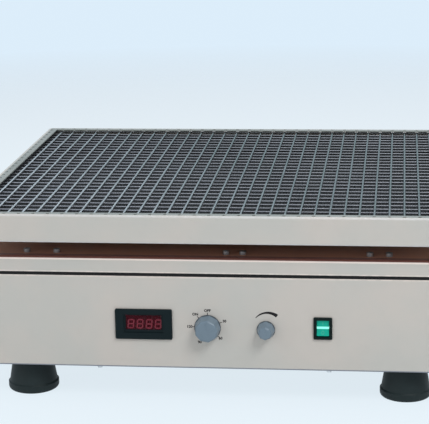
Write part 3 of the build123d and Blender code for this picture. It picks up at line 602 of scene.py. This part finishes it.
def digitSegment(length):
    bpy.ops.object.select_all(action="DESELECT")
    bpy.ops.mesh.primitive_circle_add(vertices=6, radius=meter["stroke"] / 2, fill_type="NGON")
    segment = named("segment")
    stretch = (length - meter["stroke"]) / 2 - meter["gap"]
    # the hexagon's points lie at the top and bottom, so the bar is drawn out along y
    for side in (-1, 1):
        shiftPoints(segment, lambda point: point.y * side > 0, (0, side * stretch, 0))
    pickFaces(segment, lambda middle, normal: True)
    bpy.ops.mesh.extrude_region_move(TRANSFORM_OT_translate={"value": (0, 0, meter["thick"])})
    leave()
    return settle(segment)


def meterDigits(finish):
    low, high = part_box("meter_display")
    half, side = meter["height"] / 2, meter["width"] / 2
    upright = digitSegment(half)
    level = digitSegment(meter["width"])
    level.data.transform(Matrix.Rotation(radians(90), 4, "Z"))
    corners = [(x, y, 0) for x in (-side, side) for y in (-half / 2, half / 2)]
    parts = [copyTo(upright, Matrix.Translation(corner)) for corner in corners]
    parts += [copyTo(level, Matrix.Translation((0, y, 0))) for y in (-half, 0, half)]
    digit = joined("digit", parts)
    lean = Matrix.Identity(4)
    lean[0][1] = tan(radians(meter["lean"]))
    digit.data.transform(lean)
    middle = (meter["digits"] - 1) / 2
    centre = (low + high) / 2 + Vector((meter["shift"][0], 0, meter["shift"][1]))
    row = [
        copyTo(digit, onPanel(centre.x + (step - middle) * meter["pitch"], centre.z, front - low.y))
        for step in range(meter["digits"])
    ]
    piece = joined("meterDigits", row)
    for spare in (upright, level, digit):
        bpy.data.objects.remove(spare)
    paintPiece(finish, piece)
    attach(piece, "base")


# printed marks on the panel
marks = {
    "ink": 0.00004,
    "textSize": 0.0052,
    "bold": 0.00022,  # how far a letter's outline is pushed out
    "timer": [
        ("OFF", 0, 0.0240),
        ("30", 68, 0.0250),
        ("60", 131, 0.0232),
        ("90", 208, 0.0240),
        ("120", 272, 0.0250),
        ("ON", 318, 0.0250),
    ],
    "ticks": [0, 68, 131, 208, 272, 318],
    "tickFrom": 0.0178,
    "tickTo": 0.0212,
    "tickWidth": 0.0010,
    "arcRadius": 0.0212,
    "arcShift": (0.0023, 0.0028),
    "arcFrom": -50,
    "arcTo": 38,
    "arcThin": 0.0009,
    "arcThick": 0.0049,
}


def addText(body, place):
    bpy.ops.object.select_all(action="DESELECT")
    bpy.ops.object.text_add()
    label = bpy.context.object
    label.data.body = body
    label.data.size = marks["textSize"]
    label.data.align_x = "CENTER"
    label.data.align_y = "CENTER"
    label.data.extrude = marks["ink"] / 2
    label.data.offset = marks["bold"]
    label.data.resolution_u = 3
    bpy.ops.object.convert(target="MESH")
    label = bpy.context.object
    label.data.transform(place @ Matrix.Translation((0, 0, marks["ink"] / 2)))
    return label


def dialMarks(finish, timer):
    words = []
    for body, angle, reach in marks["timer"]:
        turn = radians(angle)
        place = onPanel(timer[0] + reach * sin(turn), timer[1] + reach * cos(turn))
        words.append(addText(body, place))
    bpy.ops.object.select_all(action="DESELECT")
    bpy.ops.mesh.primitive_plane_add(size=1)
    tick = named("tick")
    tick.scale = (marks["tickWidth"], marks["tickTo"] - marks["tickFrom"], 1)
    settle(tick)
    edit()
    bpy.ops.mesh.extrude_region_move(TRANSFORM_OT_translate={"value": (0, 0, marks["ink"])})
    leave()
    tick.data.transform(Matrix.Translation((0, (marks["tickTo"] + marks["tickFrom"]) / 2, 0)))
    ring = [
        copyTo(tick, onPanel(*timer) @ Matrix.Rotation(-radians(angle), 4, "Z"))
        for angle in marks["ticks"]
    ]
    bpy.data.objects.remove(tick)
    piece = joined("timerScale", words + ring)
    paintPiece(finish, piece)
    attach(piece, "base")


def speedWedge(finish, speed):
    thin, thick, reach = marks["arcThin"], marks["arcThick"], marks["arcRadius"]
    sweep = marks["arcTo"] - marks["arcFrom"]
    bpy.ops.object.select_all(action="DESELECT")
    bpy.ops.mesh.primitive_plane_add(size=1, location=(0, reach, 0))
    wedge = named("speedScale")
    wedge.scale = (0.00001, thick, 1)
    settle(wedge)
    pickFaces(wedge, lambda middle, normal: False)
    leave()
    # one radial edge, swept round the knob
    shiftPoints(wedge, lambda point: point.x > 0, (-0.00001, 0, 0))
    edit()
    bpy.ops.mesh.select_all(action="SELECT")
    bpy.ops.mesh.remove_doubles(threshold=0.000005)
    bpy.ops.mesh.select_all(action="SELECT")
    bpy.ops.mesh.spin(steps=20, angle=radians(sweep), center=(0, 0, 0), axis=(0, 0, 1))
    bpy.ops.mesh.select_all(action="SELECT")
    bpy.ops.mesh.remove_doubles(threshold=0.000005)
    leave()
    turns = [atan2(point.co.x, point.co.y) for point in wedge.data.vertices]
    first, last = min(turns), max(turns)
    for point, turn in zip(wedge.data.vertices, turns):
        share = (turn - first) / (last - first)
        side = 1 if hypot(point.co.x, point.co.y) > reach else -1
        far = reach + side * (thin + (thick - thin) * share) / 2
        aim = radians(marks["arcFrom"] + sweep * share)
        point.co = (far * sin(aim), far * cos(aim), 0)
    pickFaces(wedge, lambda middle, normal: True)
    bpy.ops.mesh.extrude_region_move(TRANSFORM_OT_translate={"value": (0, 0, marks["ink"])})
    bpy.ops.mesh.select_all(action="SELECT")
    bpy.ops.mesh.normals_make_consistent(inside=False)
    leave()
    shiftX, shiftZ = marks["arcShift"]
    wedge.data.transform(onPanel(speed[0] + shiftX, speed[1] + shiftZ))
    paintPiece(finish, wedge)
    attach(wedge, "base")


# knobs
pointer = {"width": 0.0011, "proud": 0.0004, "from": 0.2, "to": 0.72}


def addPointer(name, node, body, finish):
    low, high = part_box(node)
    reach = (high.x - low.x) / 2
    length = reach * (pointer["to"] - pointer["from"])
    bpy.ops.object.select_all(action="DESELECT")
    bpy.ops.mesh.primitive_cube_add(size=1)
    ridge = named(name)
    ridge.scale = (pointer["width"], length, 2 * pointer["proud"])
    settle(ridge)
    pickFaces(ridge, lambda middle, normal: normal.z > 0.9)
    bpy.ops.transform.resize(value=(0.45, 0.94, 1), center_override=(0, 0, 0))
    leave()
    centre = (low + high) / 2
    start = (pointer["to"] + pointer["from"]) / 2 * reach
    ridge.data.transform(onPanel(centre.x, centre.z + start, front - low.y))
    paintPiece(finish, ridge)
    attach(ridge, body)


# rocker
rocker = {
    "rise": 0.0026,
    "valley": 0.0008,
    "pivot": -0.0024,
    "radius": 0.0114,
    "tip": 9,  # degrees, the upper half pressed in
    "markAt": 0.0062,
    "bar": (0.0009, 0.0044),
    "ring": 0.0020,
    "line": 0.00035,
    "proud": 0.00012,
    "highlightShift": 0.0011,  # the painted highlight's place above the middle of the lens
    "highlightReach": 0.0019,
    "highlightFade": 0.0007,
    "lens": ((0.005, 0.27, 0.195), (0.004, 0.21, 0.155)),
    "light": ((0.0, 0.105, 0.075), (0.36, 0.96, 0.82)),  # the lit lens's glow round the highlight, and the painted highlight along the valley
}


# a frame on the rocker's upper (side 1) or lower (side -1) face, some way from its valley
def onRocker(side, distance):
    low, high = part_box("switch_housing")
    valley, rise = rocker["valley"] - rocker["pivot"], rocker["rise"] - rocker["pivot"]
    slope = atan((rise - valley) / rocker["radius"])
    face = Matrix.Rotation(side * slope, 4, "X") @ Matrix.Translation((0, side * distance, 0))
    tip = Matrix.Rotation(-radians(rocker["tip"]), 4, "X")
    tipped = tip @ Matrix.Translation((0, 0, valley)) @ face
    middle = (low + high) / 2
    return onPanel(middle.x, middle.z, rocker["pivot"]) @ tipped


def rockerMarks(finish):
    bpy.ops.object.select_all(action="DESELECT")
    bpy.ops.mesh.primitive_cube_add(size=1)
    bar = named("markBar")
    bar.scale = (*rocker["bar"], 2 * rocker["proud"])
    settle(bar)
    pickFaces(bar, lambda middle, normal: normal.z > 0.9)
    bpy.ops.transform.resize(value=(0.7, 0.92, 1), center_override=(0, 0, 0))
    leave()
    bar.data.transform(onRocker(1, rocker["markAt"]))
    bpy.ops.object.select_all(action="DESELECT")
    bpy.ops.mesh.primitive_torus_add(
        major_segments=28,
        minor_segments=6,
        major_radius=rocker["ring"],
        minor_radius=rocker["line"],
    )
    ring = named("markRing")
    ring.data.transform(Matrix.Diagonal((0.85, 1.1, 0.35, 1)))
    ring.data.transform(onRocker(-1, rocker["markAt"]))
    piece = joined("rockerMarks", [bar, ring])
    paintPiece(finish, piece)
    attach(piece, "power_rocker")


# the scene
addCamera()
for lampName in lamps:
    addLamp(lampName)

world = bpy.data.worlds.new("studio")
bpy.context.scene.world = world
world.use_nodes = True
worldTree = world.node_tree
light = worldTree.nodes["Background"]
light.inputs["Color"].default_value = (1, 1, 1, 1)
light.inputs["Strength"].default_value = sky["light"]
backdrop = worldTree.nodes.new("ShaderNodeBackground")
backdrop.inputs["Color"].default_value = (*sky["backdrop"], 1)
rays = worldTree.nodes.new("ShaderNodeLightPath")
seen = worldTree.nodes.new("ShaderNodeMath")
seen.operation = "MAXIMUM"
worldTree.links.new(rays.outputs["Is Camera Ray"], seen.inputs[0])
seenToo = worldTree.nodes.new("ShaderNodeMath")
seenToo.operation = "MAXIMUM"
worldTree.links.new(rays.outputs["Is Glossy Ray"], seenToo.inputs[0])
worldTree.links.new(rays.outputs["Is Transmission Ray"], seenToo.inputs[1])
worldTree.links.new(seenToo.outputs[0], seen.inputs[1])
blend = worldTree.nodes.new("ShaderNodeMixShader")
worldTree.links.new(seen.outputs[0], blend.inputs[0])
worldTree.links.new(light.outputs[0], blend.inputs[1])
worldTree.links.new(backdrop.outputs[0], blend.inputs[2])
worldTree.links.new(blend.outputs[0], worldTree.nodes["World Output"].inputs["Surface"])

bpy.ops.object.select_all(action="DESELECT")
bpy.ops.mesh.primitive_circle_add(vertices=96, radius=6, fill_type="NGON")
floor = named("floor")
floorFinish = Finish("floorPaint", sky["floor"], 0.85)
place = floorFinish.at(None)
radius = floorFinish.node("ShaderNodeVectorMath", {"operation": "LENGTH"}, {0: place}, 1)
nearby = 1 - floorFinish.band(radius, *sky["fade"])
floorFinish.set("Alpha", nearby)
floorFinish.set("Specular IOR Level", 0.1)
# a pale backdrop to the eye and to mirrors, that still takes most of the shadow
floorTree = floorFinish.tree
pale = floorTree.nodes.new("ShaderNodeEmission")
pale.inputs["Color"].default_value = (*sky["pale"], 1)
look = floorTree.nodes.new("ShaderNodeLightPath")
rayKinds = ("Camera", "Glossy", "Transmission")
seenBy = [Signal(floorFinish, look.outputs[f"Is {kind} Ray"]) for kind in rayKinds]
share = (seenBy[0] + seenBy[1] + seenBy[2]).clamp() * nearby * sky["veil"]
veil = floorTree.nodes.new("ShaderNodeMixShader")
floorTree.links.new(share.socket, veil.inputs[0])
floorTree.links.new(floorFinish.shader.outputs[0], veil.inputs[1])
floorTree.links.new(pale.outputs[0], veil.inputs[2])
floorTree.links.new(veil.outputs[0], floorTree.nodes["Material Output"].inputs["Surface"])
floor.data.materials.append(floorFinish.material)
print("camera, lamps and floor ready")

darkInsideLimits = {"floor": 0.0005, "rim": 0.0025, "wall": 0.0008, "rearWall": 0.004, "rearTop": 0.011}


# the inner side of the walls and floor, coloured darker, apart from the top of the rear wall
def insideTray(finish):
    low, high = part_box("tray_shell")
    behind = finish.at("y") > high.y - darkInsideLimits["rearWall"]
    rear = behind * (finish.at("z") > high.z - darkInsideLimits["rearTop"])
    above = finish.at("z") > low.z + darkInsideLimits["floor"]
    inside = above * (finish.at("z") < high.z - darkInsideLimits["rim"]) * (1 - rear)
    for axis in range(2):
        middle, half = (low[axis] + high[axis]) / 2, (high[axis] - low[axis]) / 2
        inside = inside * (abs(finish.at("xyz"[axis]) - middle) < half - darkInsideLimits["wall"])
    return inside


# the top of the cover's fold takes a dark brown band, partly deck primer and partly painted shade
# from the tray above; below it a thin painted highlight line runs along the fold
primer = {
    "deck": (0.43, 0.205, 0.135),
    "flange": (0.15, 0.056, 0.045),
    "lap": 0.0022,
    # how far down the fold the painted highlight line reaches
    "line": 0.0042,
}
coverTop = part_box("top_cover")[1].z


# dark band on the top of the fold: primer and painted shade
def flangeTop(finish):
    return finish.at("z") > coverTop - primer["lap"]


# painted shade along the bottom of the shell
def bottomShadeLine(finish):
    return finish.at("z") < shellLow.z + sheetPaint["bottomShadeHeight"]


# painted highlight line along the cover's fold
def foldHighlight(finish):
    return finish.at("z") > coverTop - primer["line"]


trayLayers = [(insideTray, sheetPaint["darkInside"])]
trayBox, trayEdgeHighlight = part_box("tray_shell"), sheetPaint["trayEdgeHighlight"]
trayPaint = paintedSheet("trayPaint", trayBox, edge=trayEdgeHighlight, overlays=trayLayers)
dress(trayPaint, "tray_shell")
dress(paintedSheet("combPaint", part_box("spring_combs"), sheetPaint["combs"]), "spring_combs")
shellLayers = [(bottomShadeLine, sheetPaint["bottomShade"])]
dress(paintedSheet("shellPaint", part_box("base_shell"), overlays=shellLayers), "base_shell")
coverLayers = [(foldHighlight, sheetPaint["edge"]), (flangeTop, primer["flange"])]
dress(paintedSheet("coverPaint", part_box("top_cover"), overlays=coverLayers), "top_cover")
dress(darkPaint("deckPrimer", primer["deck"], 0.6), "deck_plate")
framePaint = darkPaint("framePaint", (0.10, 0.105, 0.11), 0.5)
dress(framePaint, "main_frame", "motor_bracket", "bottom_plate")
dress(darkPaint("motorPaint", (0.02, 0.021, 0.024), 0.4), "motor")
steel = turnedSteel("groundSteel", (0.62, 0.62, 0.63), 0.24)
guideCranks = [name for name in nodes if name.startswith("guide_crank")]
shafts = ["drive_shaft", "motor_shaft", "timer_spindle", "speed_spindle"]
dress(steel, "drive_crank", *shafts, *guideCranks)
dress(turnedSteel("oxideScrews", (0.06, 0.058, 0.055), 0.42), "carriage_screws", "foot_bolts")
dress(turnedSteel("zincScrews", (0.42, 0.40, 0.39), 0.34), "deck_screws", "hook_rods")
dress(turnedSteel("brightScrews", (0.66, 0.68, 0.70), 0.4), "bottom_screws")
bearings = ["drive_pin_bearing", "guide_pin_bearings", "drive_bearings", "guide_bearings"]
dress(turnedSteel("bearingSteel", (0.7, 0.7, 0.71), 0.14, 0.0004), *bearings)
dress(castMetal("greyIron", (0.12, 0.12, 0.122), 0.6, 0.7), "counterweight")
housings = ["drive_pin_housing", "guide_pin_housings", "drive_housing", "guide_housings"]
aluminium = castMetal("castAluminium", (0.56, 0.565, 0.575), 0.4, 1.0)
dress(aluminium, "carriage_plate", *housings, "driven_pulley", "motor_pulley")
footRubber = rubber("footRubber", (0.0125, 0.0205, 0.0215), 0.52, 0.0012)
dress(footRubber, *[name for name in nodes if name.startswith("foot_") and name != "foot_bolts"])
blackRubber = rubber("blackRubber", (0.008, 0.0085, 0.009), 0.62, 0.0008)
dress(blackRubber, "seam_strip", "drive_belt")
blackPlastic = mouldedPlastic("blackPlastic", (0.010, 0.012, 0.013), 0.42, 0.0005)
dress(blackPlastic, "power_inlet", "fuse_holder", "timer_body", "speed_potentiometer", "meter_body")
meterPlastic = mouldedPlastic(
    "meterPlastic", (0.004, 0.0105, 0.0125), 0.42, 0.0006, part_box("meter_bezel"), 0.12
)
dress(meterPlastic, "meter_bezel")
switchPlastic = mouldedPlastic(
    "switchPlastic", (0.004, 0.0105, 0.010), 0.44, 0.0006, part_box("switch_housing"), 0.1
)
dress(switchPlastic, "switch_housing")
print("finishes on the CAD pieces")


core = {"coil": 0.0202, "sheets": 320}  # half width of the core, sheets to the metre
board = {"deck": 0.0142, "tracks": 260}  # height above which parts stand, tracks to the metre


def transformerFinish():
    low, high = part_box("transformer")
    middle = (low + high) / 2
    finish = Finish("laminatedCore", (0.17, 0.165, 0.16), 0.45, 0.6)
    values = {"Vector": finish.at(None), "Scale": core["sheets"]}
    sheets = finish.node("ShaderNodeTexWave", {"bands_direction": "Y"}, values)
    coil = abs(finish.at("y") - middle.y) > core["coil"]
    iron = finish.mix(sheets, (0.2, 0.19, 0.18), (0.1, 0.1, 0.1))
    finish.set("Base Color", finish.mix(coil, iron, (0.55, 0.36, 0.08)))
    finish.set("Metallic", 0.6 - coil * 0.6)
    finish.bump(sheets, 0.0001, 0.5)
    return finish


def boardFinish():
    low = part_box("control_board")[0]
    finish = Finish("circuitBoard", (0.02, 0.13, 0.05), 0.35)
    values = {"Vector": finish.at(None), "Scale": board["tracks"]}
    tracks = finish.node("ShaderNodeTexVoronoi", {"distance": "MANHATTAN"}, values)
    raised = finish.at("z") > low.z + board["deck"]
    green = finish.mix(tracks > 0.45, (0.02, 0.13, 0.05), (0.05, 0.22, 0.09))
    finish.set("Base Color", finish.mix(raised, green, (0.04, 0.045, 0.06)))
    finish.set("Roughness", 0.35 + raised * 0.15)
    finish.bump(tracks, 0.00004, 0.4)
    return finish


dress(transformerFinish(), "transformer")
dress(boardFinish(), "control_board")

# springs, mat and panel
# the last colour of each wire is the painted reflection of the right and rear springs
longWire = wire(
    "zincWire", (0.88, 0.90, 0.90), (0.56, 0.575, 0.58), 0.24, "y", (0.25, 0.30, 0.29)
)
# a darker wire for the cross springs
crossWire = wire(
    "darkCrossWire", (0.34, 0.33, 0.35), (0.215, 0.21, 0.225), 0.36, "x", (0.19, 0.19, 0.20)
)
layRow("longSprings", "long_springs", 0, springs["longSpacing"], longWire)
layRow("crossSprings", "cross_springs", 1, springs["crossSpacing"], crossWire)
print("springs wound")
ribMat(blackRubber)
print("mat ribbed")

displayTones = ((0.070, 0.005, 0.011), (0.046, 0.003, 0.007))
displayFinish = mottled("displayFace", displayTones, 0.5, 0.1, 0.004, 3, (0.35, 0.7))
dress(displayFinish, "meter_display")
digitTones = ((0.38, 0.070, 0.100), (0.29, 0.048, 0.072))
meterDigits(mottled("digitSegments", digitTones, 0.5, 0.1, 0.002, 3, (0.35, 0.7)))
filterFinish = Finish("redFilter", (0.06, 0.006, 0.012), 0.16)
filterFinish.set("Specular IOR Level", 0.15)
smear = filterFinish.band(filterFinish.noise(0.012, 4), 0.4, 0.75)
filterFinish.set("Roughness", 0.10 + smear * 0.14)
filterFinish.set("Alpha", 0.34 + smear * 0.10)
dress(filterFinish, "meter_window")

inkTones = ((0.010, 0.009, 0.011), (0.045, 0.042, 0.04))
inkFinish = mottled("panelInk", inkTones, 0.6, 0.15, 0.0012, 4, (0.5, 0.8))


def centreOf(node):
    low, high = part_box(node)
    return (low.x + high.x) / 2, (low.z + high.z) / 2


dialMarks(inkFinish, centreOf("timer_knob"))
speedWedge(inkFinish, centreOf("speed_knob"))
print("meter and panel marks done")

knob = {
    "colour": (0.142, 0.196, 0.245),
    "grain": 0.0008,
    "skirt": 0.0024,  # shaded band next to the panel
    "timerEdge": 0.0007,
    "speedEdge": 0.0009,
}


def knobPlastic(name, node):
    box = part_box(node)
    return mouldedPlastic(name, knob["colour"], 0.3, knob["grain"], box, 0.4, knob["skirt"])


timerPlastic = knobPlastic("timerPlastic", "timer_knob")
speedPlastic = knobPlastic("speedPlastic", "speed_knob")
softened("timerGrip", "timer_knob", knob["timerEdge"], "timer_knob", timerPlastic)
softened("speedGrip", "speed_knob", knob["speedEdge"], "speed_knob", speedPlastic)
addPointer("timerPointer", "timer_knob", "timer_knob", timerPlastic)
addPointer("speedPointer", "speed_knob", "speed_knob", speedPlastic)

rockerZ = centreOf("switch_housing")[1]
lensFinish = Finish("litLens", rocker["lens"][0], 0.24)
# the lens glows green like the lit switch, with a painted highlight band along its valley
away = abs(lensFinish.at("z") - rockerZ - rocker["highlightShift"])
valleyHighlight = ((rocker["highlightReach"] - away) / rocker["highlightFade"]).clamp()
cloud = lensFinish.band(lensFinish.noise(0.003, 3), 0.3, 0.7)
lensFinish.set("Base Color", lensFinish.mix(cloud * 0.4, *rocker["lens"]))
lensFinish.set("Emission Color", lensFinish.mix(valleyHighlight, *rocker["light"]))
lensFinish.set("Emission Strength", 1.0)
lensFinish.set("Specular IOR Level", 0.12)
lensFinish.set("Coat Weight", 0.12)
softened("rockerLens", "power_rocker", 0.0005, "power_rocker", lensFinish)
markTones = ((0.05, 0.38, 0.29), (0.03, 0.31, 0.235))
rockerMarks(mottled("rockerInk", markTones, 0.5, 0.5, 0.001, 3, (0.4, 0.7)))
print("knobs and switch done")

bpy.context.scene.view_settings.view_transform = "Standard"
